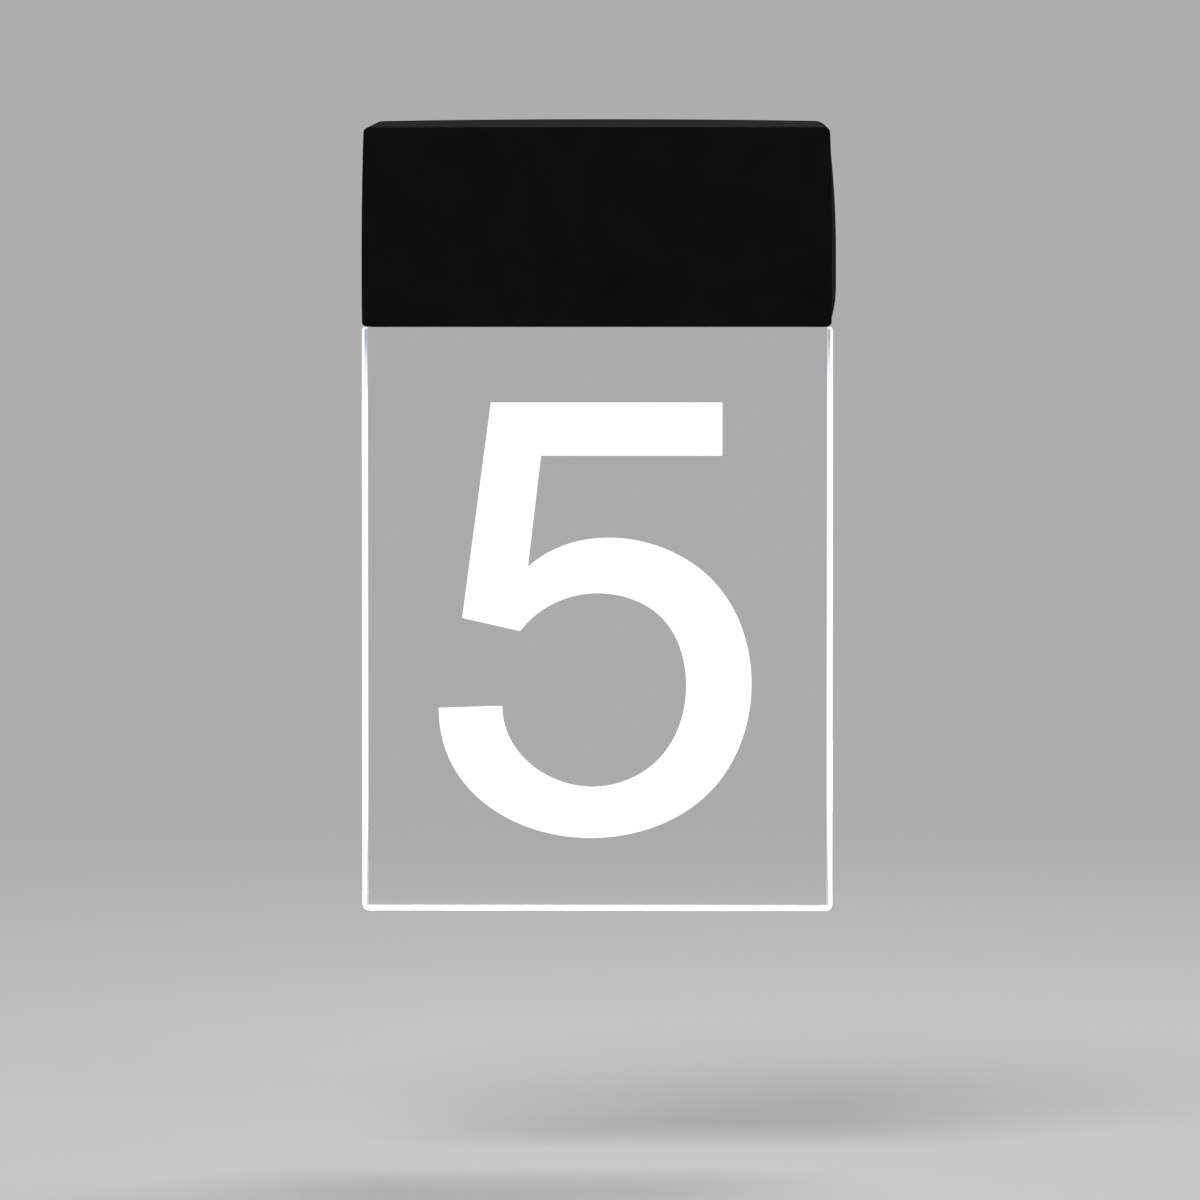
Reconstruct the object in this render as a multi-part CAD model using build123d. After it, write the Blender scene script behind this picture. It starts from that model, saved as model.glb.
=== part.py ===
from build123d import *
import os

# Edge-lit house number sign for a wall. A black cast housing sits against the wall. A clear
# acrylic panel hangs from it, lit through its top edge by a row of LEDs inside the housing.
#
# The wall is the plane Y = 0 and the sign faces -Y. X is to the right and Z is up. The origin
# is on the wall, behind the middle of the housing. "Distance" is always the distance from the wall.

# Housing: a cast shell with a flat front, whose crowned sides and top open out towards the wall
housing_depth = 60.0
front_width = 160.8
front_height = 68.0
front_top_crown = 0.05
front_corner = 2.0
front_edge_radius = 0.6
side_swell = 2.5
side_top_taper = 0.7
side_foot_taper = 0.1
side_straight_low = 14.0
side_straight_high = 26.0
rim_top_rise = 4.0
rim_top_crown = 0.7
rim_corner = 5.0
rim_edge_radius = 0.8
foot_corner = 1.5
wall_thickness = 2.5

# Panel and number
panel_side_step = 0.65
panel_drop = 201.2
panel_thickness = 5.0
panel_setback = 13.5
panel_corner = 2.4
panel_top_corner = 1.0
panel_bevel = 1.85
panel_gap = 0.2
tongue_height = 18.3
tongue_corner = 1.0
digit_height = 150.0
digit_above_foot = 25.3
digit_thickness = 1.0
digit_bevel = 0.4

# Seals
gasket_thickness = 2.0
gasket_width = 6.0
gasket_gap = 0.2
seal_wall = 1.5
seal_flange = 3.0
seal_flange_thickness = 1.2

# LED carrier, panel clamp and LED board
carrier_end_gap = 3.9
carrier_web = 3.0
carrier_fin_length = 4.0
carrier_fin_thickness = 1.5
carrier_fin_pitch = 6.0
carrier_fins = 3
carrier_rise = 34.0
boss_inset = 29.0
shelf_end_relief = 4.0
shelf_reach = 12.0
shelf_thickness = 3.0
clamp_pad_thickness = 2.0
clamp_pad_height = 13.0
clamp_bar_thickness = 3.0
clamp_bar_height = 11.0
clamp_screw_inset = 11.0
clamp_screw_height = 9.8
thermal_pad_thickness = 0.5
board_overhang = 1.0
board_width = 8.0
board_thickness = 1.6
board_corner = 1.0
led_length = 3.5
led_width = 2.8
led_height = 0.8
led_pitch = 8.0
led_count = 18
led_gap = 0.6

# LED driver
driver_side_room = 11.9
driver_top_gap = 1.8
driver_foot_gap = 1.8
driver_length = 74.0
driver_depth = 20.0
driver_lid_thickness = 2.0
driver_corner = 2.0
driver_ear = 9.0
driver_ear_thickness = 2.0
driver_boss_length = 2.5

# Wall bracket
bracket_side_room = 18.4
bracket_end_room = 9.0
bracket_depth = 4.0
bracket_sheet = 1.5
bracket_corner = 5.0
bend_radius = 2.0
wall_slot_inset = 10.0
wall_slot_length = 12.0
wall_slot_width = 5.0
weld_overlap = 12.0
hook_inset = 16.0
hook_width = 14.0
hook_reach = 13.0
hook_rise = 2.6
hook_lip = 4.0
rib_thickness = 4.0
rib_width = 18.0
ear_inset = 22.0
ear_width = 16.0
ear_reach = 20.0

# Cover screws, sunk in bosses on the housing's floor
cover_screw_length = 6.0
cover_screw_recess = 0.4
cover_boss_roof = 1.6
cover_boss_wall = 1.8
washer_thickness = 1.0
washer_outer = 9.0

# Cable grommet
cable_bore = 8.0
cable_hole = 14.0
cable_below_middle = 10.0
grommet_flange = 18.0
grommet_flange_thickness = 1.6
grommet_nose = 11.4
grommet_nose_length = 3.0

# Terminal block, earth connection and wires
pole_pitch = 10.0
pole_count = 3
tower_width = 8.0
tower_corner = 0.8
block_height = 15.0
block_depth = 14.0
block_base = 5.0
block_foot = 8.0
block_foot_corner = 2.0
block_above_middle = 9.0
block_screw_length = 8.0
sleeve_bore = 3.2
sleeve_wall = 0.9
sleeve_inset = 1.0
sleeve_distance = 11.0
pole_screw_offset = 3.6
pole_screw_thread = 3.0
pole_screw_stand = 1.0
pole_screw_slot = 0.6
earth_x = 30.0
earth_above_middle = 4.0
lug_ring = 8.0
lug_thickness = 0.8
lug_barrel = 5.0
lug_neck = 2.0
lug_depth = 2.0
mains_wire = 2.2
mains_bend = 4.0
mains_lead_slant = 1.0
led_wire = 1.6
led_wire_bend = 6.0
led_wire_pitch = 3.4
led_wire_gap = 1.2

# Screws: thread, head and drive sizes, and the clearances round threads, heads and washers
m3_thread = 3.0
m3_head = 5.6
m3_head_height = 2.0
m3_key = 2.0
m4_thread = 4.0
m4_head = 7.6
m4_head_height = 2.6
m4_key = 2.5
earth_screw_length = 5.0
screw_tip_room = 1.0
thread_clearance = 0.05
through_clearance = 0.2
overshoot = 1.0

# Widths, lengths and spacings, worked out from the sizes above
panel_width = front_width + 2 * panel_side_step
carrier_length = front_width - 2 * (wall_thickness + carrier_end_gap)
tongue_width = carrier_length - 2 * seal_flange
shelf_length = carrier_length - 2 * shelf_end_relief
board_length = carrier_length + 2 * board_overhang
boss_spacing = carrier_length - 2 * boss_inset
clamp_screw_spacing = tongue_width / 2 - clamp_screw_inset
bracket_width = front_width - 2 * bracket_side_room
bracket_height = front_height - 2 * bracket_end_room
wall_slot_spacing = bracket_width - 2 * wall_slot_inset
hook_spacing = bracket_width - 2 * hook_inset
ear_spacing = bracket_width - 2 * ear_inset
block_screw_x = (pole_count * pole_pitch + block_foot) / 2
driver_start = driver_side_room + wall_thickness - front_width / 2
driver_x = driver_start + driver_ear + driver_length / 2
led_lead_x = -(shelf_length / 2 + led_wire_gap + led_wire / 2)

# Distances from the wall
front_distance = housing_depth
rim_distance = gasket_thickness
front_inside = front_distance - wall_thickness
panel_front = front_distance - panel_setback
panel_back = panel_front - panel_thickness
panel_middle = panel_back + panel_thickness / 2
web_back = panel_front + clamp_pad_thickness
web_front = web_back + carrier_web
bar_front = panel_back - clamp_pad_thickness
bar_back = bar_front - clamp_bar_thickness
driver_seat = front_inside - driver_boss_length
driver_back = driver_seat - driver_depth
strip_distance = bracket_depth + bracket_sheet / 2
rib_start = strip_distance + bend_radius
cover_screw_distance = (bracket_depth + ear_reach) / 2
block_front = bracket_depth + block_depth
grommet_front = bracket_depth + grommet_flange_thickness / 2 + grommet_nose_length
lug_distance = bracket_depth + lug_thickness + mains_wire / 2

# Heights
foot = -front_height / 2
floor = foot + wall_thickness
ceiling = front_height / 2 - wall_thickness
panel_top = foot - panel_gap
panel_foot = panel_top - panel_drop
tongue_top = foot + tongue_height
led_foot = tongue_top + led_gap
board_foot = led_foot + led_height
board_top = board_foot + board_thickness
shelf_foot = board_top + thermal_pad_thickness
flange_top = floor + seal_flange_thickness
web_foot = flange_top + panel_gap
web_top = web_foot + carrier_rise
boss_height = (shelf_foot + shelf_thickness + web_top) / 2
clamp_height = foot + clamp_screw_height
driver_height = ceiling - driver_top_gap - web_top - driver_foot_gap
driver_middle = ceiling - driver_top_gap - driver_height / 2
ledge_top = bracket_height / 2 + hook_rise
cover_washer_top = foot + cover_screw_recess + m4_head_height + washer_thickness
cover_boss_top = cover_washer_top + cover_boss_roof
block_middle = block_above_middle
block_low = block_middle - block_height / 2
block_high = block_middle + block_height / 2
lug_barrel_foot = earth_above_middle + lug_ring / 2 + lug_neck
lug_barrel_top = lug_barrel_foot + lug_barrel

# Radii
boss_radius = m3_head / 2 + through_clearance
counterbore_radius = washer_outer / 2 + through_clearance
cover_boss_radius = counterbore_radius + cover_boss_wall
sleeve_radius = sleeve_bore / 2 + sleeve_wall


def facing(distance):
    """Plane parallel to the wall, seen from the front, this far in front of the wall."""
    return Plane.XZ.offset(distance)


def plate(outline, start, thickness, x=0.0, z=0.0):
    """An outline seen from the front, made thickness deep, forwards from the distance start."""
    return extrude(facing(start) * Pos(x, z) * outline, thickness)


def bar(radius, start, end, x, z):
    """Round bar square to the wall, between two distances."""
    return plate(Circle(radius), start, end - start, x, z)


def upright(radius, low, high, x, distance):
    """Round bar along Z, between two heights, at a distance from the wall."""
    return extrude(Plane.XY.offset(low) * Pos(x, -distance) * Circle(radius), high - low)


def pair(spacing):
    """The two places of a pair, this far apart about the middle."""
    return (-spacing / 2, spacing / 2)


def group(solids):
    """Separate solids that share one node."""
    return Compound(children=[solid for piece in solids for solid in piece.solids()])


def screw(thread, length, head, head_height, key):
    """Pan-head screw with a hexagon socket. The head sits below Z = 0 and the thread rises from it."""
    shank = extrude(Circle(thread / 2), length)
    shank = chamfer(shank.edges().group_by(Axis.Z)[-1], thread / 8)
    cap = Pos(0, 0, -head_height) * extrude(Circle(head / 2), head_height)
    cap = chamfer(cap.edges().group_by(Axis.Z)[0], head_height / 3)
    socket = extrude(RegularPolygon(key / 2, 6, major_radius=False), head_height / 2)
    return shank + cap - Pos(0, 0, -head_height) * socket


def m3_screw(length):
    return screw(m3_thread, length, m3_head, m3_head_height, m3_key)


def m4_screw(length):
    return screw(m4_thread, length, m4_head, m4_head_height, m4_key)


def into_front(x, distance, z):
    """Seat of a screw whose head is nearer the wall, with its thread towards the front."""
    return Plane(origin=(x, -distance, z), x_dir=(1, 0, 0), z_dir=(0, -1, 0))


def into_wall(x, distance, z):
    """Seat of a screw whose head is nearer the front, with its thread towards the wall."""
    return Plane(origin=(x, -distance, z), x_dir=(1, 0, 0), z_dir=(0, 1, 0))


# ---- Housing ----

def drawn_in(radius, inset):
    """Corner radius of an outline that is drawn in by inset: smaller, but never nothing."""
    return radius * radius / (radius + 2 * inset)


def housing_outline(swell, rise, crown, top_corner, inset):
    """The housing's outline seen from the front: crowned sides and top, and a flat foot.

    swell is how far the sides stand out past the flat front's, rise how far the top's ends stand
    above it, and crown how far the top's middle stands above its ends. inset draws it all in.
    """
    half = front_width / 2 - inset
    top = (half - side_top_taper, front_height / 2 + rise - inset)
    bottom = (half - side_foot_taper, foot + inset)
    side_high = (half + swell, foot + side_straight_high)
    side_low = (half + swell, foot + side_straight_low)
    over = ThreePointArc((-top[0], top[1]), (0, top[1] + crown), top)
    under = Line(bottom, (-bottom[0], bottom[1]))
    right = [
        TangentArc(side_high, top, tangent=(0, 1)),
        Line(side_high, side_low),
        TangentArc(side_low, bottom, tangent=(0, -1)),
    ]
    left = [mirror(edge, Plane.YZ) for edge in right]
    outline = make_face([over, under] + right + left)
    outline = fillet(outline.vertices().group_by(Axis.Y)[-1], drawn_in(top_corner, inset))
    return fillet(outline.vertices().group_by(Axis.Y)[0], drawn_in(foot_corner, inset))


def front_outline(inset=0.0):
    return housing_outline(0.0, 0.0, front_top_crown, front_corner, inset)


def rim_outline(inset=0.0):
    return housing_outline(side_swell, rim_top_rise, rim_top_crown, rim_corner, inset)


def housing_body():
    """The housing's outer form as one solid, rounded at its front and rear edges."""
    body = loft([facing(front_distance) * front_outline(), facing(rim_distance) * rim_outline()])
    body = fillet(body.faces().sort_by(Axis.Y)[0].edges(), front_edge_radius)
    return fillet(body.faces().sort_by(Axis.Y)[-1].edges(), rim_edge_radius)


def housing_hollow():
    """The space inside the housing, open towards the wall."""
    front = facing(front_inside) * front_outline(wall_thickness)
    return loft([front, facing(rim_distance) * rim_outline(wall_thickness)])


def housing_cover():
    """Cast shell with bosses and hook ribs inside, and the panel's slot and screw wells underneath."""
    body = housing_body()
    shell = body - housing_hollow()
    root = front_inside + wall_thickness / 2
    for x in pair(boss_spacing):
        shell += bar(boss_radius, web_front, root, x, boss_height)
        shell -= bar(m3_thread / 2 + thread_clearance, web_front, front_inside, x, boss_height)
    for x in driver_screw_places():
        shell += bar(boss_radius, driver_seat, root, x, driver_middle)
        shell -= bar(m3_thread / 2 + thread_clearance, driver_seat, front_inside, x, driver_middle)
    rib = Rectangle(rib_width, front_height / 2, align=(Align.CENTER, Align.MIN))
    for x in pair(hook_spacing):
        shell += plate(rib, rib_start, rib_thickness, x, ledge_top) & body
    for x in pair(ear_spacing):
        middle = floor - wall_thickness / 2
        shell += upright(cover_boss_radius, middle, cover_boss_top, x, cover_screw_distance)
        shell -= upright(counterbore_radius, foot - overshoot, cover_washer_top, x, cover_screw_distance)
        shell -= upright(m4_thread / 2 + through_clearance, foot, cover_boss_top + overshoot, x,
                         cover_screw_distance)
    return shell - ring_block(seal_outline(seal_wall), foot - overshoot, floor + overshoot)


# ---- Panel, number and slot seal ----

def number_panel():
    """Clear panel, bevelled at its sides and foot, with a tongue that rises into the housing."""
    face = Pos(0, panel_foot) * Rectangle(panel_width, panel_drop, align=(Align.CENTER, Align.MIN))
    face = fillet(face.vertices().group_by(Axis.Y)[0], panel_corner)
    visible = extrude(facing(panel_back) * face, panel_thickness)
    for rim in (visible.faces().sort_by(Axis.Y)[0], visible.faces().sort_by(Axis.Y)[-1]):
        bevelled = rim.edges().sort_by(Axis.Z)[:-1]
        visible = chamfer(visible.edges().filter_by(lambda edge: edge in bevelled), panel_bevel)
    rounded = fillet(face.vertices().group_by(Axis.Y)[-1], panel_top_corner)
    visible &= extrude(facing(panel_back) * rounded, panel_thickness)
    tongue = Pos(0, panel_top) * Rectangle(
        tongue_width, tongue_top - panel_top, align=(Align.CENTER, Align.MIN))
    tongue = fillet(tongue.vertices().group_by(Axis.Y)[-1], tongue_corner)
    panel = visible + extrude(facing(panel_back) * tongue, panel_thickness)
    for x in clamp_screw_places():
        panel -= bar(m3_thread / 2 + through_clearance, panel_back, panel_front, x, clamp_height)
    return panel


def glyph(*shares):
    """Points of the digit, given as shares of its height, from the panel's middle and the baseline."""
    return [(digit_height * x, digit_height * z) for x, z in shares]


def house_number():
    """The digit 5: a straight flag and stem, and a round bowl that ends in a square-cut hook."""
    flag_and_stem = Polyline(glyph(
        (-0.159, 0.623), (-0.129, 0.878), (0.287, 0.878), (0.287, 1.0), (-0.244, 1.0),
        (-0.310, 0.5055), (-0.1766, 0.4756)))
    bowl_inside = Spline(glyph(
        (-0.1766, 0.4756), (-0.1053, 0.5361), (0.0023, 0.5625), (0.146, 0.5085), (0.2041, 0.3568),
        (0.1372, 0.1775), (-0.0092, 0.1177), (-0.164, 0.1795), (-0.218, 0.3036)))
    hook_end = Line(glyph((-0.218, 0.3036), (-0.364, 0.299)))
    bowl_outside = Spline(glyph(
        (-0.364, 0.299), (-0.2765, 0.0947), (-0.0092, 0.0), (0.2652, 0.1129), (0.3543, 0.3568),
        (0.2645, 0.5925), (0.0322, 0.6898), (-0.0943, 0.665), (-0.159, 0.623)))
    outline = make_face([flag_and_stem, bowl_inside, hook_end, bowl_outside])
    digit = plate(outline, panel_front, digit_thickness, 0, panel_foot + digit_above_foot)
    return chamfer(digit.edges().group_by(Axis.Y)[0], digit_bevel)


def seal_outline(margin):
    """The tongue's section seen from above, made larger all round by margin."""
    return RectangleRounded(tongue_width + 2 * margin, panel_thickness + 2 * margin, margin)


def ring_block(outline, low, high):
    """An outline seen from above, centred on the panel's thickness, made solid between two heights."""
    return extrude(Plane.XY.offset(low) * Pos(0, -panel_middle) * outline, high - low)


def slot_seal():
    """Rubber frame round the tongue: a collar in the housing's slot and a flange on its floor."""
    seal = ring_block(seal_outline(seal_wall), foot, flange_top)
    seal += ring_block(seal_outline(seal_flange), floor, flange_top)
    opening = Rectangle(tongue_width, panel_thickness)
    return seal - ring_block(opening, foot - overshoot, flange_top + overshoot)


def wall_gasket():
    """Flat foam ring between the housing's rim and the wall."""
    margin = rim_edge_radius + gasket_gap
    return plate(rim_outline(margin) - rim_outline(margin + gasket_width), 0, gasket_thickness)


# ---- LED carrier and panel clamp ----

def led_carrier():
    """Extruded carrier: a web with cooling fins in front and a shelf for the LED board behind."""
    fins = []
    fin_foot = web_foot + carrier_fin_pitch / 2
    for index in range(carrier_fins):
        low = fin_foot + index * carrier_fin_pitch
        high = low + carrier_fin_thickness
        tip = web_front + carrier_fin_length
        fins += [(-web_front, low), (-tip, low), (-tip, high), (-web_front, high)]
    section = Polyline(
        (-web_back, web_foot), (-web_front, web_foot), *fins, (-web_front, web_top),
        (-web_back, web_top), (-web_back, shelf_foot + shelf_thickness),
        (shelf_reach - web_back, shelf_foot + shelf_thickness), (shelf_reach - web_back, shelf_foot),
        (-web_back, shelf_foot), close=True)
    carrier = extrude(Plane.YZ * make_face(section), carrier_length / 2, both=True)
    for x in pair(carrier_length):
        end = Pos(x, shelf_reach / 2 - web_back, shelf_foot + shelf_thickness / 2)
        carrier -= end * Box(2 * shelf_end_relief, shelf_reach, shelf_thickness)
    for x in clamp_screw_places():
        carrier -= bar(m3_thread / 2 + thread_clearance, web_back, web_front, x, clamp_height)
    for x in pair(boss_spacing):
        carrier -= bar(m3_thread / 2 + through_clearance, web_back, web_front, x, boss_height)
    return carrier


def drilled_strip(height, start, thickness, clearance):
    """Strip of the clamp: as long as the tongue, standing on the carrier's foot line."""
    strip = Pos(0, web_foot) * RectangleRounded(
        tongue_width, height, tongue_corner, align=(Align.CENTER, Align.MIN))
    strip = extrude(facing(start) * strip, thickness)
    for x in clamp_screw_places():
        strip -= bar(m3_thread / 2 + clearance, start, start + thickness, x, clamp_height)
    return strip


def clamp_pad_front():
    return drilled_strip(clamp_pad_height, panel_front, clamp_pad_thickness, through_clearance)


def clamp_pad_rear():
    return drilled_strip(clamp_pad_height, bar_front, clamp_pad_thickness, through_clearance)


def clamp_bar():
    return drilled_strip(clamp_bar_height, bar_back, clamp_bar_thickness, through_clearance)


def clamp_screw_places():
    return [-clamp_screw_spacing, 0, clamp_screw_spacing]


def clamp_screws():
    """Screws from behind, through bar, pads and tongue, into the carrier's web."""
    length = web_front - bar_back
    return group(into_front(x, bar_back, clamp_height) * m3_screw(length) for x in clamp_screw_places())


def carrier_screws():
    """Screws from behind, through the carrier's web, into the housing's bosses."""
    whole = m3_screw(front_inside - web_back - screw_tip_room)
    return group(into_front(x, web_back, boss_height) * whole for x in pair(boss_spacing))


# ---- LED board ----

def thermal_pad():
    return board_strip(shelf_length, board_top, thermal_pad_thickness)


def led_board():
    return board_strip(board_length, board_foot, board_thickness)


def board_strip(length, low, thickness):
    """Flat strip as wide as the LED board, centred over the panel's top edge."""
    outline = RectangleRounded(length, board_width, board_corner)
    return ring_block(outline, low, low + thickness)


def leds():
    """LED packages in a row under the board, each a little smaller at its shining face."""
    package = Pos(0, -panel_middle, led_foot + led_height / 2) * Box(led_length, led_width, led_height)
    package = chamfer(package.edges().group_by(Axis.Z)[0], led_height / 4)
    start = -(led_count - 1) * led_pitch / 2
    return group(Pos(start + index * led_pitch, 0, 0) * package for index in range(led_count))


# ---- LED driver ----

def driver_screw_places():
    offset = driver_length / 2 + driver_ear / 2
    return [driver_x - offset, driver_x + offset]


def driver_case():
    """Plastic box with a fixing ear at each end, filled with its potted circuit."""
    outline = RectangleRounded(driver_length, driver_height, driver_corner)
    depth = driver_depth - driver_lid_thickness
    case = plate(outline, driver_seat - depth, depth, driver_x, driver_middle)
    full_length = driver_length + 2 * driver_ear
    ears = RectangleRounded(full_length, 2 * boss_radius, driver_corner)
    case += plate(ears, driver_seat - driver_ear_thickness, driver_ear_thickness, driver_x, driver_middle)
    for x in driver_screw_places():
        case -= bar(m3_thread / 2 + through_clearance, driver_back, driver_seat, x, driver_middle)
    return case


def driver_lid():
    """Lid on the driver's side towards the wall."""
    outline = RectangleRounded(driver_length, driver_height, driver_corner)
    lid = plate(outline, driver_back, driver_lid_thickness, driver_x, driver_middle)
    return chamfer(lid.edges().group_by(Axis.Y)[-1], driver_lid_thickness / 3)


def driver_screws():
    start = driver_seat - driver_ear_thickness
    length = front_inside - start
    return group(into_front(x, start, driver_middle) * m3_screw(length) for x in driver_screw_places())


# ---- Wall bracket ----

def bent_strip(path, width, x):
    """Sheet strip bent along a path of (distance, height) points."""
    line = FilletPolyline([(-distance, height) for distance, height in path], radius=bend_radius)
    return Pos(x, 0, 0) * extrude(Plane.YZ * trace(line, bracket_sheet), width / 2, both=True)


def wall_bracket():
    """Pressed tray with wall slots, a cable hole and tapped holes, open towards the wall."""
    tray = plate(RectangleRounded(bracket_width, bracket_height, bracket_corner), 0, bracket_depth)
    hollow = RectangleRounded(bracket_width - 2 * bracket_sheet, bracket_height - 2 * bracket_sheet,
                              bracket_corner - bracket_sheet)
    tray -= plate(hollow, 0, bracket_depth - bracket_sheet)
    for x in pair(wall_slot_spacing):
        tray -= plate(SlotOverall(wall_slot_length, wall_slot_width), 0, bracket_depth, x, 0)
    for x in pair(2 * block_screw_x):
        tray -= bar(m3_thread / 2 + thread_clearance, 0, bracket_depth, x, block_middle)
    tray -= bar(cable_hole / 2, 0, bracket_depth, 0, -cable_below_middle)
    return tray - bar(m4_thread / 2 + thread_clearance, 0, bracket_depth, earth_x, earth_above_middle)


def hanging_hooks():
    """Strips welded to the tray's front, bent into hooks that the housing's ribs hang on."""
    start = bracket_height / 2 - weld_overlap
    shelf = ledge_top - bracket_sheet / 2
    path = [
        (strip_distance, start), (strip_distance, shelf), (hook_reach, shelf),
        (hook_reach, shelf + hook_lip)]
    return group(bent_strip(path, hook_width, x) for x in pair(hook_spacing))


def screw_ears():
    """Strips welded to the tray's front, bent forwards into ears for the cover screws."""
    start = weld_overlap - bracket_height / 2
    level = cover_boss_top + bracket_sheet / 2
    path = [(strip_distance, start), (strip_distance, level), (ear_reach, level)]
    hole = m4_thread / 2 + thread_clearance
    low = level - bracket_sheet
    return group(
        bent_strip(path, ear_width, x) - upright(hole, low, level + bracket_sheet, x, cover_screw_distance)
        for x in pair(ear_spacing))


def cable_grommet():
    """Rubber bush with a groove that grips the bracket's sheet, and a tapered nose."""
    hollow = cable_bore / 2
    flange = grommet_flange / 2
    back = bracket_depth - bracket_sheet
    profile = Polyline(
        (hollow, back - grommet_flange_thickness), (flange, back - grommet_flange_thickness),
        (flange, back), (cable_hole / 2, back), (cable_hole / 2, bracket_depth), (flange, bracket_depth),
        (flange, bracket_depth + grommet_flange_thickness / 2),
        (grommet_nose / 2, grommet_front), (hollow, grommet_front), close=True)
    turned = revolve(Plane.XZ * make_face(profile), Axis.Z)
    return Pos(0, 0, -cable_below_middle) * (Rotation(90, 0, 0) * turned)


def cover_screws():
    """Screws from below, sunk in the housing's bosses, that pull it onto the bracket's ears."""
    seat = cover_washer_top - washer_thickness
    whole = m4_screw(cover_screw_length)
    return group(Pos(x, -cover_screw_distance, seat) * whole for x in pair(ear_spacing))


def cover_washers():
    """Rubber washers under the heads of the cover screws."""
    ring = Circle(washer_outer / 2) - Circle(m4_thread / 2 + thread_clearance)
    washer = extrude(ring, -washer_thickness)
    return group(Pos(x, -cover_screw_distance, cover_washer_top) * washer for x in pair(ear_spacing))


# ---- Terminal block and wiring ----

def pole_places():
    return [(index - (pole_count - 1) / 2) * pole_pitch for index in range(pole_count)]


def pole_screw_places():
    heights = (block_middle - pole_screw_offset, block_middle + pole_screw_offset)
    return [(x, z) for x in pole_places() for z in heights]


def terminal_block():
    """Plastic strip with a tower for each pole, wire bores along Z and screw wells in front."""
    base = RectangleRounded(2 * block_screw_x + block_foot, block_foot, block_foot_corner)
    block = plate(base, bracket_depth, block_base, 0, block_middle)
    tower = RectangleRounded(tower_width, block_height, tower_corner)
    joined = Rectangle(pole_places()[-1] * 2, block_height)
    block += plate(joined, bracket_depth, block_base, 0, block_middle)
    for x in pole_places():
        block += plate(tower, bracket_depth, block_depth, x, block_middle)
        block -= upright(sleeve_radius, block_low, block_high, x, sleeve_distance)
    for x, z in pole_screw_places():
        block -= bar(m3_thread / 2 + through_clearance, sleeve_distance, block_front, x, z)
    seat = bracket_depth + block_base
    for x in pair(2 * block_screw_x):
        block -= bar(m3_thread / 2 + through_clearance, bracket_depth, seat, x, block_middle)
    return block


def terminal_sleeves():
    """Brass sleeves in the block's bores, tapped for the clamping screws."""
    low = block_low + sleeve_inset
    high = block_high - sleeve_inset
    sleeves = []
    for x in pole_places():
        sleeve = upright(sleeve_radius, low, high, x, sleeve_distance)
        sleeves.append(sleeve - upright(sleeve_bore / 2, low, high, x, sleeve_distance))
    taps = [bar(pole_screw_thread / 2, sleeve_distance, block_front, x, z) for x, z in pole_screw_places()]
    return group(sleeve - taps for sleeve in sleeves)


def terminal_screws():
    """Slotted clamping screws, threaded into each end of each sleeve."""
    tip = sleeve_distance + mains_wire / 2
    length = sleeve_radius + pole_screw_stand
    grub = extrude(Circle(pole_screw_thread / 2), length)
    grub -= Pos(0, 0, length) * Box(pole_screw_thread, pole_screw_slot, 2 * pole_screw_slot)
    return group(facing(tip) * Pos(x, z) * grub for x, z in pole_screw_places())


def block_screws():
    """Screws that hold the terminal block to the bracket."""
    seat = bracket_depth + block_base
    whole = m3_screw(block_screw_length)
    return group(into_wall(x, seat, block_middle) * whole for x in pair(2 * block_screw_x))


def wire(points, diameter, bend):
    """Wire along points of (x, distance, height), with its bends rounded."""
    route = [Vector(x, -distance, height) for x, distance, height in points]
    path = FilletPolyline(route, radius=bend)
    start = Plane(origin=route[0], z_dir=route[1] - route[0])
    return sweep(start * Circle(diameter / 2), path=path)


def pole_entry():
    """Height at which a wire ends in a sleeve, under the upper screw."""
    return block_middle + pole_screw_offset - pole_screw_thread / 2


def mains_lead(pole, end_height, reach, over):
    """Wire from the driver's end to one of the block's poles, passing over the block."""
    end = driver_x + driver_length / 2
    middle = (driver_back + driver_seat) / 2
    turn = end + reach
    x = pole_places()[pole]
    return wire([
        (end, middle, end_height), (turn, middle, end_height),
        (turn + mains_lead_slant, middle - driver_depth, over), (x, sleeve_distance, over),
        (x, sleeve_distance, pole_entry())], mains_wire, mains_bend)


def neutral_lead():
    over = block_high + 2 * mains_bend
    return mains_lead(0, driver_middle - 2 * mains_wire, 2 * mains_bend, over)


def live_lead():
    over = block_high + 2 * mains_bend + 2 * mains_wire
    return mains_lead(1, driver_middle + mains_wire, 2 * mains_bend + mains_wire, over)


def earth_lead():
    """Earth wire from the block's last pole to the lug on the bracket."""
    over = block_high + 1.5 * mains_bend
    earth_pole = pole_places()[-1]
    end = lug_barrel_top - lug_depth
    return wire([
        (earth_pole, sleeve_distance, pole_entry()), (earth_pole, sleeve_distance, over),
        (earth_x, lug_distance, over), (earth_x, lug_distance, end)], mains_wire, mains_bend)


def earth_lug():
    """Ring terminal, flat on the bracket, with a barrel for the wire above the ring."""
    ring = plate(Circle(lug_ring / 2), bracket_depth, lug_thickness, earth_x, earth_above_middle)
    neck = Rectangle(mains_wire, lug_ring, align=(Align.CENTER, Align.MIN))
    ring += plate(neck, bracket_depth, lug_thickness, earth_x, earth_above_middle)
    outer = mains_wire / 2 + lug_thickness
    ring += upright(outer, lug_barrel_foot, lug_barrel_top, earth_x, lug_distance)
    ring -= upright(mains_wire / 2, lug_barrel_top - lug_depth, lug_barrel_top, earth_x, lug_distance)
    return ring - bar(m4_thread / 2 + through_clearance, bracket_depth, lug_distance, earth_x,
                      earth_above_middle)


def earth_washer():
    ring = Circle(lug_ring / 2) - Circle(m4_thread / 2 + through_clearance)
    return plate(ring, bracket_depth + lug_thickness, lug_thickness, earth_x, earth_above_middle)


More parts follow.
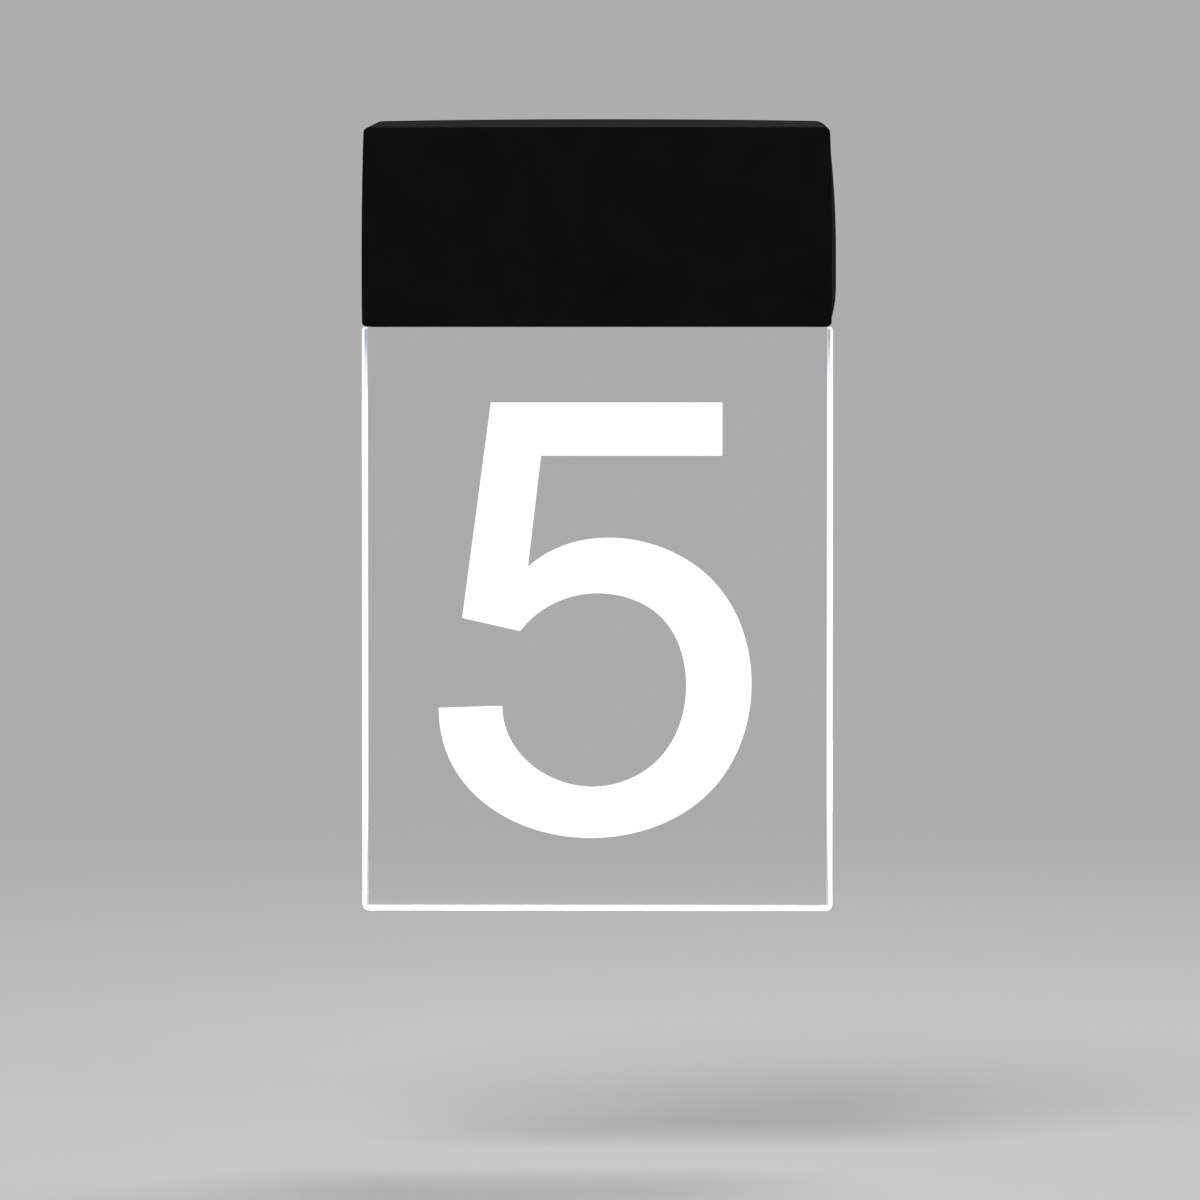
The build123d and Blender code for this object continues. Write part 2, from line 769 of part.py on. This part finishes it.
def earth_screw():
    seat = bracket_depth + 2 * lug_thickness
    return into_wall(earth_x, seat, earth_above_middle) * m4_screw(earth_screw_length)


def led_lead(side):
    """Wire from the driver's other end down to the end of the LED board."""
    start = driver_x - driver_length / 2
    distance = panel_middle + side * led_wire_pitch / 2
    points = [
        (start, distance, driver_middle), (led_lead_x, distance, driver_middle),
        (led_lead_x, distance, board_top)]
    return wire(points, led_wire, led_wire_bend)


parts = {
    "housing_cover": housing_cover(),
    "number_panel": number_panel(),
    "house_number": house_number(),
    "slot_seal": slot_seal(),
    "wall_gasket": wall_gasket(),
    "led_carrier": led_carrier(),
    "clamp_pad_front": clamp_pad_front(),
    "clamp_pad_rear": clamp_pad_rear(),
    "clamp_bar": clamp_bar(),
    "clamp_screws": clamp_screws(),
    "carrier_screws": carrier_screws(),
    "thermal_pad": thermal_pad(),
    "led_board": led_board(),
    "leds": leds(),
    "led_lead_plus": led_lead(1),
    "led_lead_minus": led_lead(-1),
    "driver_case": driver_case(),
    "driver_lid": driver_lid(),
    "driver_screws": driver_screws(),
    "wall_bracket": wall_bracket(),
    "hanging_hooks": hanging_hooks(),
    "screw_ears": screw_ears(),
    "cable_grommet": cable_grommet(),
    "cover_screws": cover_screws(),
    "cover_washers": cover_washers(),
    "terminal_block": terminal_block(),
    "terminal_sleeves": terminal_sleeves(),
    "terminal_screws": terminal_screws(),
    "block_screws": block_screws(),
    "neutral_lead": neutral_lead(),
    "live_lead": live_lead(),
    "earth_lead": earth_lead(),
    "earth_lug": earth_lug(),
    "earth_washer": earth_washer(),
    "earth_screw": earth_screw(),
}

os.makedirs("parts", exist_ok=True)
for name, part in parts.items():
    export_step(part, f"parts/{name}.step")
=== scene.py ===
import math

import bpy
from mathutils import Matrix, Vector


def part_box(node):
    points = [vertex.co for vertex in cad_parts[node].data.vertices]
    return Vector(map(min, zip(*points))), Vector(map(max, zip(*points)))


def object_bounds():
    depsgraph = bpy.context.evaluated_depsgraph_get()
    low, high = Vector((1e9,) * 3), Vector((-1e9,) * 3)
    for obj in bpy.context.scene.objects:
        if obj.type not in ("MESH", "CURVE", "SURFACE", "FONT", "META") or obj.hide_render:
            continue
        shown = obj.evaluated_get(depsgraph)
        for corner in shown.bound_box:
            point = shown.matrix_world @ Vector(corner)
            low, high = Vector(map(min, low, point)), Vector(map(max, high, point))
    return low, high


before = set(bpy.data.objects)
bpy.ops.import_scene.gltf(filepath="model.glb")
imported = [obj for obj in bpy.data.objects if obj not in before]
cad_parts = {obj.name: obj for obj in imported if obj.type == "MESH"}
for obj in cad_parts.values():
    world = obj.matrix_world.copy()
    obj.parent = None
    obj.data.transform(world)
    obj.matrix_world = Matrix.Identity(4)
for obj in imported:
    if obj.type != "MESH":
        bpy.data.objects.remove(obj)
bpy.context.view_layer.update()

# Edge-lit house number sign, dressed in its finishes. Lengths are in metres, in the part's own
# frame: the wall is the plane Y = 0, the sign faces -Y, X is to the right and Z is up.

MM = 0.001

# Camera: straight in front, a little right of the middle and just below the housing
camera_place = (0.0360, -2.460, -0.0439)
camera_lens = 210.5
camera_sensor = 36.0
camera_down = math.radians(1.997)
camera_left = math.radians(0.832)

# Studio: the floor fades into the background between two distances from the sign
background_grey = 0.42
ambient_light = 0.40
floor_below_sign = 0.085
floor_size = 12.0
floor_fade_start = 0.45
floor_fade_end = 1.6
lamps = {                # place, size and watts
    "key_lamp": ((-0.7, -1.7, 2.1), 1.6, 56.0),
    "fill_lamp": ((1.3, -2.1, 0.5), 1.4, 18.0),
    "back_lamp": ((0.5, 1.5, 1.9), 1.3, 34.0),
}

# Panel: clear inside its lit edge, whose flat is dimmer than the bevels in front of and behind it
acrylic_tint = (0.952, 0.966, 0.975)
lit_edge_grey = 0.15
lit_width = 2.05 * MM
lit_width_blur = 0.05 * MM
bevel_light = 1.0
flat_light = 0.72
flat_light_half = 0.2 * MM
bevel_light_start = 0.6 * MM

# Towards the foot, the light of the sides narrows and the rest of its width is dimmed
foot_narrowing = 0.42 * MM
foot_narrowing_blur = 0.2 * MM
foot_narrowing_full = 8 * MM
foot_narrowing_reach = 40 * MM
foot_narrowing_light = 0.35

# Duller line below the housing: its strength by share of the lit width and by share of its reach
dull_line_drop = 0.79
dull_line_reach = 30 * MM
dull_line_tint = (0.50, 0.63, 1.0)
dull_line_tint_start = 0.1
dull_line_across = ((0.30, 0.0), (0.44, 0.25), (0.56, 0.86), (0.65, 1.0), (0.78, 0.72), (1.0, 0.42))
dull_line_down = ((0.0, 0.0), (0.04, 0.9), (0.10, 0.98), (0.21, 0.80), (0.31, 0.55), (0.44, 0.36),
                  (0.60, 0.26), (1.0, 0.08))

# Lit edge as seen through the acrylic: it starts below the housing and is full at the dull line's end
inner_light = 0.579
inner_light_start = 13.5 * MM

# Lowest edge of the foot, and the number
warm_foot_height = 0.7 * MM
warm_foot_full = 0.4
warm_foot_tint = (0.96, 0.91, 0.85)
number_light = 0.93
number_cloud_tint = (1.0, 0.99, 0.98)
number_grey = 0.25


def place_of(name):
    """Lowest and highest corner of a piece, as vectors."""
    low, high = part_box(name)
    return Vector(low), Vector(high)


def grey(value):
    return (value, value, value)


white = grey(1.0)


# ---- Making finishes ----

# Soft random spots hardly leave this range
spots_low = 0.3
spots_high = 0.7


class Finish:
    """A material in the making: its shader, and short ways to add and join nodes."""

    def __init__(self, name, roughness=0.5, **settings):
        """Settings are the shader's sockets by name, with _ for each space."""
        self.material = bpy.data.materials.new(name)
        self.material.use_nodes = True
        self.tree = self.material.node_tree
        self.shader = self.tree.nodes["Principled BSDF"]
        self.shader.inputs["Roughness"].default_value = roughness
        for socket, value in settings.items():
            self.shader.inputs[socket.replace("_", " ")].default_value = value

    def feed(self, socket, output):
        self.tree.links.new(output, self.shader.inputs[socket])

    def add(self, kind, inputs=None, **settings):
        """Add a node. inputs holds its sockets: a plain value, or the output that feeds it."""
        node = self.tree.nodes.new("ShaderNode" + kind)
        for name, value in settings.items():
            setattr(node, name, value)
        for socket, value in (inputs or {}).items():
            if isinstance(value, bpy.types.NodeSocket):
                self.tree.links.new(value, node.inputs[socket])
            else:
                node.inputs[socket].default_value = value
        return node

    def math(self, operation, first, second=0.0):
        return self.add("Math", {0: first, 1: second}, operation=operation).outputs["Value"]

    def own(self):
        """The piece's own coordinates, in metres."""
        return self.add("TexCoord").outputs["Object"]

    def axis(self, letter):
        return self.add("SeparateXYZ", {"Vector": self.own()}).outputs[letter]

    def grain(self, size, detail=2.0, stretch=(1, 1, 1), rough=0.5):
        """Soft random spots of about this size in metres, from 0 to 1.

        They are longer along an axis whose stretch is under 1.
        """
        place = self.add("Mapping", {"Vector": self.own(), "Scale": stretch}).outputs["Vector"]
        spots = self.add("TexNoise", {"Vector": place, "Scale": 1 / size,
                                      "Detail": detail, "Roughness": rough})
        return spots.outputs["Fac"]

    def pores(self, size):
        """Distance from the middle of each cell of a foam, from 0 to about 1."""
        cells = self.add("TexVoronoi", {"Vector": self.own(), "Scale": 1 / size})
        return cells.outputs["Distance"]

    def between(self, value, low, high, start=spots_low, end=spots_high):
        """Goes from low to high while value goes from start to end, and stays there."""
        node = self.add("MapRange", {"Value": value, "From Min": start, "From Max": end,
                                     "To Min": low, "To Max": high})
        return node.outputs["Result"]

    def shades(self, share, *stops):
        """Colour ramp over share, from stops of (place, colour) in rising order."""
        node = self.add("ValToRGB", {"Fac": share})
        elements = node.color_ramp.elements
        for element, (place, colour) in zip(elements, (stops[0], stops[-1])):
            element.position = place
            element.color = (*colour, 1)
        for place, colour in stops[1:-1]:
            elements.new(place).color = (*colour, 1)
        return node.outputs["Color"]

    def greys(self, share, stops):
        """Value that follows stops of (place, value) over share."""
        return self.shades(share, *((place, grey(value)) for place, value in stops))

    def relief(self, height, depth, below=None):
        """Bumps of this depth in metres, laid over the bumps below."""
        inputs = {"Height": height, "Distance": depth, "Strength": 1.0}
        if below is not None:
            inputs["Normal"] = below
        return self.add("Bump", inputs).outputs["Normal"]

    def tone(self, spots, colour, spread):
        """Base colour that goes a little darker and lighter with the spots."""
        darker = tuple(part * (1 - spread) for part in colour)
        lighter = tuple(min(1.0, part * (1 + spread)) for part in colour)
        self.feed("Base Color", self.shades(spots, (spots_low, darker), (spots_high, lighter)))

    def gloss(self, spots, roughness, spread=0.12):
        """Roughness that goes a little down and up with the spots."""
        self.feed("Roughness", self.between(spots, roughness * (1 - spread), roughness * (1 + spread)))


# ---- Finishes of the outside ----

def powder_coat():
    """Satin black powder coat on the cast housing: fine orange peel and a faint cloudy tone."""
    coat = Finish("satin_black_powder_coat", Specular_IOR_Level=0.008)
    cloud = coat.grain(size=14 * MM)
    coat.tone(cloud, colour=(0.0038, 0.0038, 0.0040), spread=0.12)
    peel = coat.grain(size=0.9 * MM, detail=3.0)
    coat.gloss(peel, roughness=0.70)
    coat.feed("Normal", coat.relief(peel, depth=0.05 * MM))
    return coat


def lit_acrylic():
    """Clear acrylic that lets its light out at the bevelled sides and foot.

    The light is strongest along the panel's outline. Inside that runs a duller, bluish line, which starts
    just below the housing and fades out down the side. From partway down it, the lit edge is also seen
    through the acrylic. Towards the foot the side's light narrows a little, and the lowest edge of the
    foot is slightly warm.
    """
    clear = Finish("edge_lit_clear_acrylic", roughness=0.015, IOR=1.49, Transmission_Weight=1.0)
    low, high = place_of("number_panel")
    housing_foot = place_of("housing_cover")[0].z
    height = clear.axis("Z")
    from_foot = clear.math("SUBTRACT", height, low.z)
    from_side = clear.math("SUBTRACT", high.x, clear.math("ABSOLUTE", clear.axis("X")))
    from_outline = clear.math("MINIMUM", from_side, from_foot)

    # Strength over the lit edge: flat and bevels, the duller line, and the narrowing at the foot
    off_middle = clear.math("SUBTRACT", clear.axis("Y"), (low.y + high.y) / 2)
    full = clear.between(clear.math("ABSOLUTE", off_middle), flat_light, bevel_light,
                         flat_light_half, bevel_light_start)
    across = clear.between(from_outline, 0.0, 1.0, 0.0, lit_width)
    down = clear.between(height, 0.0, 1.0, housing_foot, housing_foot - dull_line_reach)
    dull = clear.math("MULTIPLY", clear.greys(across, dull_line_across), clear.greys(down, dull_line_down))
    undimmed = clear.math("SUBTRACT", full, clear.math("MULTIPLY", dull, dull_line_drop))
    narrowing = clear.between(from_foot, foot_narrowing, 0.0, foot_narrowing_full, foot_narrowing_reach)
    narrowed = clear.math("MINIMUM", clear.math("ADD", from_side, narrowing), from_foot)
    kept = clear.between(narrowed, 1.0, foot_narrowing_light,
                         lit_width - foot_narrowing_blur, lit_width + lit_width_blur)
    strength = clear.math("MULTIPLY", undimmed, kept)

    # Lit share of the acrylic: all of the edge from outside, and part of it from inside
    rim = clear.between(from_outline, 1.0, 0.0, lit_width - lit_width_blur, lit_width + lit_width_blur)
    outside = clear.math("SUBTRACT", 1.0, clear.add("NewGeometry").outputs["Backfacing"])
    inside = clear.between(height, 0.0, inner_light,
                           housing_foot - inner_light_start, housing_foot - dull_line_reach)
    lit = clear.math("MULTIPLY", rim, clear.math("MAXIMUM", outside, inside))
    clear.feed("Emission Strength", clear.math("MULTIPLY", lit, strength))
    clear.feed("Base Color", clear.shades(lit, (0.0, acrylic_tint), (1.0, grey(lit_edge_grey))))

    bluish = clear.shades(dull, (dull_line_tint_start, white), (1.0, dull_line_tint))
    up_the_foot = clear.between(from_foot, 0.0, 1.0, 0.0, warm_foot_height)
    warm = clear.shades(up_the_foot, (warm_foot_full, warm_foot_tint), (1.0, white))
    tinted = clear.add("VectorMath", {0: bluish, 1: warm}, operation="MULTIPLY")
    clear.feed("Emission Color", tinted.outputs["Vector"])
    return clear


def lit_number():
    """White digit that glows evenly, with faint cloudiness in the light behind it."""
    number = Finish("lit_white_number", roughness=0.35, Base_Color=(*grey(number_grey), 1),
                    Emission_Strength=number_light)
    cloud = number.grain(size=30 * MM)
    light = number.shades(cloud, (spots_low, number_cloud_tint), (spots_high, white))
    number.feed("Emission Color", light)
    return number


# ---- Finishes of the inside ----

def plain(name, colour, roughness, grain_size=1.2 * MM, depth=0.02 * MM, spread=0.08, **settings):
    """Finish with a slight change of tone and gloss and a fine grain."""
    made = Finish(name, **settings)
    cloud = made.grain(size=6 * grain_size)
    made.tone(cloud, colour, spread)
    fine = made.grain(grain_size)
    made.gloss(fine, roughness)
    made.feed("Normal", made.relief(fine, depth))
    return made


def moulded(name, colour, roughness, **settings):
    """Moulded plastic: a fine spark-eroded texture and soft sheen."""
    return plain(name, colour, roughness, grain_size=0.35 * MM, depth=0.03 * MM, spread=0.04, **settings)


def drawn_metal(name, colour, roughness, along):
    """Metal with fine lines left by the die or the rolls, along the axis where along is under 1."""
    made = Finish(name, Metallic=1.0)
    lines = made.grain(size=0.25 * MM, detail=3.0, stretch=along, rough=0.6)
    made.tone(lines, colour, spread=0.09)
    made.gloss(lines, roughness, spread=0.22)
    made.feed("Normal", made.relief(lines, depth=0.02 * MM))
    return made


def zinc_plate():
    """Bright zinc over pressed sheet: cloudy, with a faint blue and straw tone and roll lines."""
    zinc = Finish("bright_zinc_plate", Metallic=1.0)
    bluish, neutral, straw = (0.54, 0.57, 0.61), (0.63, 0.64, 0.65), (0.70, 0.70, 0.68)
    cloud = zinc.grain(size=7 * MM, detail=3.0)
    tones = zinc.shades(cloud, (spots_low, bluish), (0.5, neutral), (spots_high, straw))
    zinc.feed("Base Color", tones)
    lines = zinc.grain(size=0.3 * MM, stretch=(0.03, 1, 1))
    zinc.gloss(lines, roughness=0.30, spread=0.25)
    rolled = zinc.relief(lines, depth=0.01 * MM)
    zinc.feed("Normal", zinc.relief(cloud, depth=0.10 * MM, below=rolled))
    return zinc


def turned_metal(name, colour, roughness):
    """Screws and sleeves: bright metal with fine marks of the tool."""
    made = Finish(name, Metallic=1.0)
    cloud = made.grain(size=1.5 * MM)
    made.tone(cloud, colour, spread=0.10)
    marks = made.grain(size=0.18 * MM, detail=3.0)
    made.gloss(marks, roughness, spread=0.3)
    made.feed("Normal", made.relief(marks, depth=0.015 * MM))
    return made


def rubber(name, colour, bloom):
    """Matt rubber with fine speckle and a pale bloom on raised spots."""
    made = Finish(name, Specular_IOR_Level=0.3)
    speckle = made.grain(size=0.5 * MM, detail=4.0)
    made.feed("Base Color", made.shades(speckle, (0.35, colour), (0.75, bloom)))
    made.gloss(speckle, roughness=0.72)
    made.feed("Normal", made.relief(speckle, depth=0.05 * MM))
    return made


def foam():
    """Closed-cell foam of the wall gasket, with pores cut open at its faces, their hollows painted darker
    as shade.
    """
    made = Finish("closed_cell_foam", roughness=0.92, Specular_IOR_Level=0.2)
    # the pores' middles, sunk by the bump, get the darker colour: painted shade in their hollows
    shaded_pore, skin = grey(0.012), grey(0.045)
    pore = made.pores(size=0.55 * MM)
    made.feed("Base Color", made.shades(pore, (0.15, shaded_pore), (0.6, skin)))
    waves = made.relief(made.grain(size=4 * MM), depth=0.2 * MM)
    made.feed("Normal", made.relief(pore, depth=0.2 * MM, below=waves))
    return made


def silicone():
    """Milky silicone of the clamp strips, which lets some light in."""
    return plain("milky_silicone", colour=(0.62, 0.62, 0.60), roughness=0.45,
                 Subsurface_Weight=0.4, Subsurface_Radius=(2 * MM, 2 * MM, 2 * MM))


def phosphor():
    """LED packages: yellow phosphor, lit."""
    return plain("led_phosphor", colour=(0.9, 0.72, 0.22), roughness=0.4,
                 Emission_Color=(1.0, 0.96, 0.86, 1), Emission_Strength=1.2)


def insulation(name, colour):
    """Extruded PVC insulation: smooth and a little glossy, with faint dents."""
    return plain(name, colour, roughness=0.38, grain_size=0.8 * MM, spread=0.05, Coat_Weight=0.15)


def earth_insulation():
    """Green insulation with a yellow stripe that winds round it."""
    green, yellow = (0.02, 0.26, 0.04), (0.80, 0.66, 0.02)
    stripe_winding = (420.0, 900.0, 420.0)     # radians per metre along each axis
    made = insulation("green_yellow_wire", green)
    turns = made.add("VectorMath", {0: made.own(), 1: stripe_winding}, operation="DOT_PRODUCT")
    wave = made.math("SINE", turns.outputs["Value"])
    made.feed("Base Color", made.shades(wave, (0.02, green), (0.06, yellow)))
    return made


finishes = {             # by the names of the material slots in model.glb
    "housing_black": powder_coat(),
    "clear_acrylic": lit_acrylic(),
    "lit_white": lit_number(),
    "black_rubber": rubber("black_seal_rubber", grey(0.010), grey(0.022)),
    "foam_rubber": foam(),
    "clear_silicone": silicone(),
    "bare_aluminium": drawn_metal("extruded_aluminium", (0.76, 0.77, 0.78), 0.36, along=(0.02, 1, 1)),
    "zinc_steel": zinc_plate(),
    "stainless": turned_metal("stainless_steel", (0.66, 0.65, 0.63), 0.27),
    "white_board": moulded("white_solder_mask", (0.82, 0.82, 0.80), 0.32, Coat_Weight=0.3),
    "led_yellow": phosphor(),
    "thermal_grey": rubber("thermal_pad_grey", grey(0.20), grey(0.27)),
    "driver_white": moulded("driver_white_plastic", (0.74, 0.74, 0.72), 0.5),
    "block_natural": moulded("natural_polyamide", (0.70, 0.67, 0.58), 0.42, Subsurface_Weight=0.25,
                             Subsurface_Radius=(1.5 * MM, 1.3 * MM, 1.0 * MM)),
    "brass": turned_metal("brass", (0.79, 0.60, 0.27), 0.28),
    "tinned": drawn_metal("tinned_copper", (0.73, 0.71, 0.69), 0.30, along=(1, 1, 0.05)),
    "wire_red": insulation("red_wire", (0.55, 0.02, 0.02)),
    "wire_black": insulation("black_wire", (0.012, 0.012, 0.012)),
    "wire_blue": insulation("blue_wire", (0.02, 0.10, 0.45)),
    "wire_brown": insulation("brown_wire", (0.15, 0.055, 0.022)),
    "wire_green_yellow": earth_insulation(),
}

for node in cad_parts.values():
    for slot in node.material_slots:
        slot.material = finishes[slot.material.name].material


# ---- Studio ----

def plain_floor():
    """Pale floor below the sign that fades into the background far out, and is clear from below."""
    low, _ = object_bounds()
    bpy.ops.object.select_all(action="DESELECT")
    bpy.ops.mesh.primitive_plane_add(size=floor_size, location=(0, 0, low.z - floor_below_sign))
    floor = bpy.context.object
    floor.name = "studio_floor"
    bpy.ops.object.transform_apply(location=True)

    pale = Finish("pale_studio_floor", roughness=0.8, Base_Color=(*grey(background_grey), 1))
    flat = pale.add("VectorMath", {0: pale.own(), 1: (1, 1, 0)}, operation="MULTIPLY").outputs["Vector"]
    distance = pale.add("VectorMath", {0: flat}, operation="LENGTH").outputs["Value"]
    far = pale.between(distance, 0.0, 1.0, floor_fade_start, floor_fade_end)
    glow = pale.add("Emission", {"Color": (*grey(background_grey), 1), "Strength": 1.0})
    above = pale.add("MixShader", {0: far, 1: pale.shader.outputs["BSDF"], 2: glow.outputs["Emission"]})
    from_below = pale.add("NewGeometry").outputs["Backfacing"]
    clear = pale.add("BsdfTransparent").outputs["BSDF"]
    one_sided = pale.add("MixShader", {0: from_below, 1: above.outputs["Shader"], 2: clear})
    pale.tree.links.new(one_sided.outputs["Shader"], pale.tree.nodes["Material Output"].inputs["Surface"])
    floor.data.materials.append(pale.material)


def background():
    """Plain grey to the camera, through the clear panel and in reflections, and soft light elsewhere."""
    world = bpy.data.worlds.new("studio")
    bpy.context.scene.world = world
    world.use_nodes = True
    tree = world.node_tree
    ambient = tree.nodes["Background"]
    ambient.inputs["Color"].default_value = (*white, 1)
    ambient.inputs["Strength"].default_value = ambient_light
    seen = tree.nodes.new("ShaderNodeBackground")
    seen.inputs["Color"].default_value = (*grey(background_grey), 1)
    path = tree.nodes.new("ShaderNodeLightPath")
    shows = path.outputs["Is Camera Ray"]
    for ray in ("Is Transmission Ray", "Is Glossy Ray"):
        either = tree.nodes.new("ShaderNodeMath")
        either.operation = "MAXIMUM"
        tree.links.new(shows, either.inputs[0])
        tree.links.new(path.outputs[ray], either.inputs[1])
        shows = either.outputs["Value"]
    mix = tree.nodes.new("ShaderNodeMixShader")
    tree.links.new(shows, mix.inputs[0])
    tree.links.new(ambient.outputs["Background"], mix.inputs[1])
    tree.links.new(seen.outputs["Background"], mix.inputs[2])
    tree.links.new(mix.outputs["Shader"], tree.nodes["World Output"].inputs["Surface"])


def soft_lamp(name, place, aim, size, watts):
    """Square soft lamp that points at aim, and is not seen through the clear panel."""
    lamp = bpy.data.lights.new(name, "AREA")
    lamp.size = size
    lamp.energy = watts
    holder = bpy.data.objects.new(name, lamp)
    bpy.context.scene.collection.objects.link(holder)
    holder.location = place
    holder.rotation_euler = (Vector(aim) - Vector(place)).to_track_quat("-Z", "Y").to_euler()
    holder.visible_transmission = False


def camera():
    holder = bpy.data.objects.new("camera", bpy.data.cameras.new("camera"))
    bpy.context.scene.collection.objects.link(holder)
    holder.location = camera_place
    holder.rotation_euler = (math.pi / 2 - camera_down, 0, camera_left)
    holder.data.lens = camera_lens
    holder.data.sensor_width = camera_sensor
    bpy.context.scene.camera = holder


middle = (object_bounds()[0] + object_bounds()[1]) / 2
plain_floor()
background()
for name, (place, size, watts) in lamps.items():
    soft_lamp(name, place, middle, size, watts)
camera()
bpy.context.scene.view_settings.view_transform = "Standard"
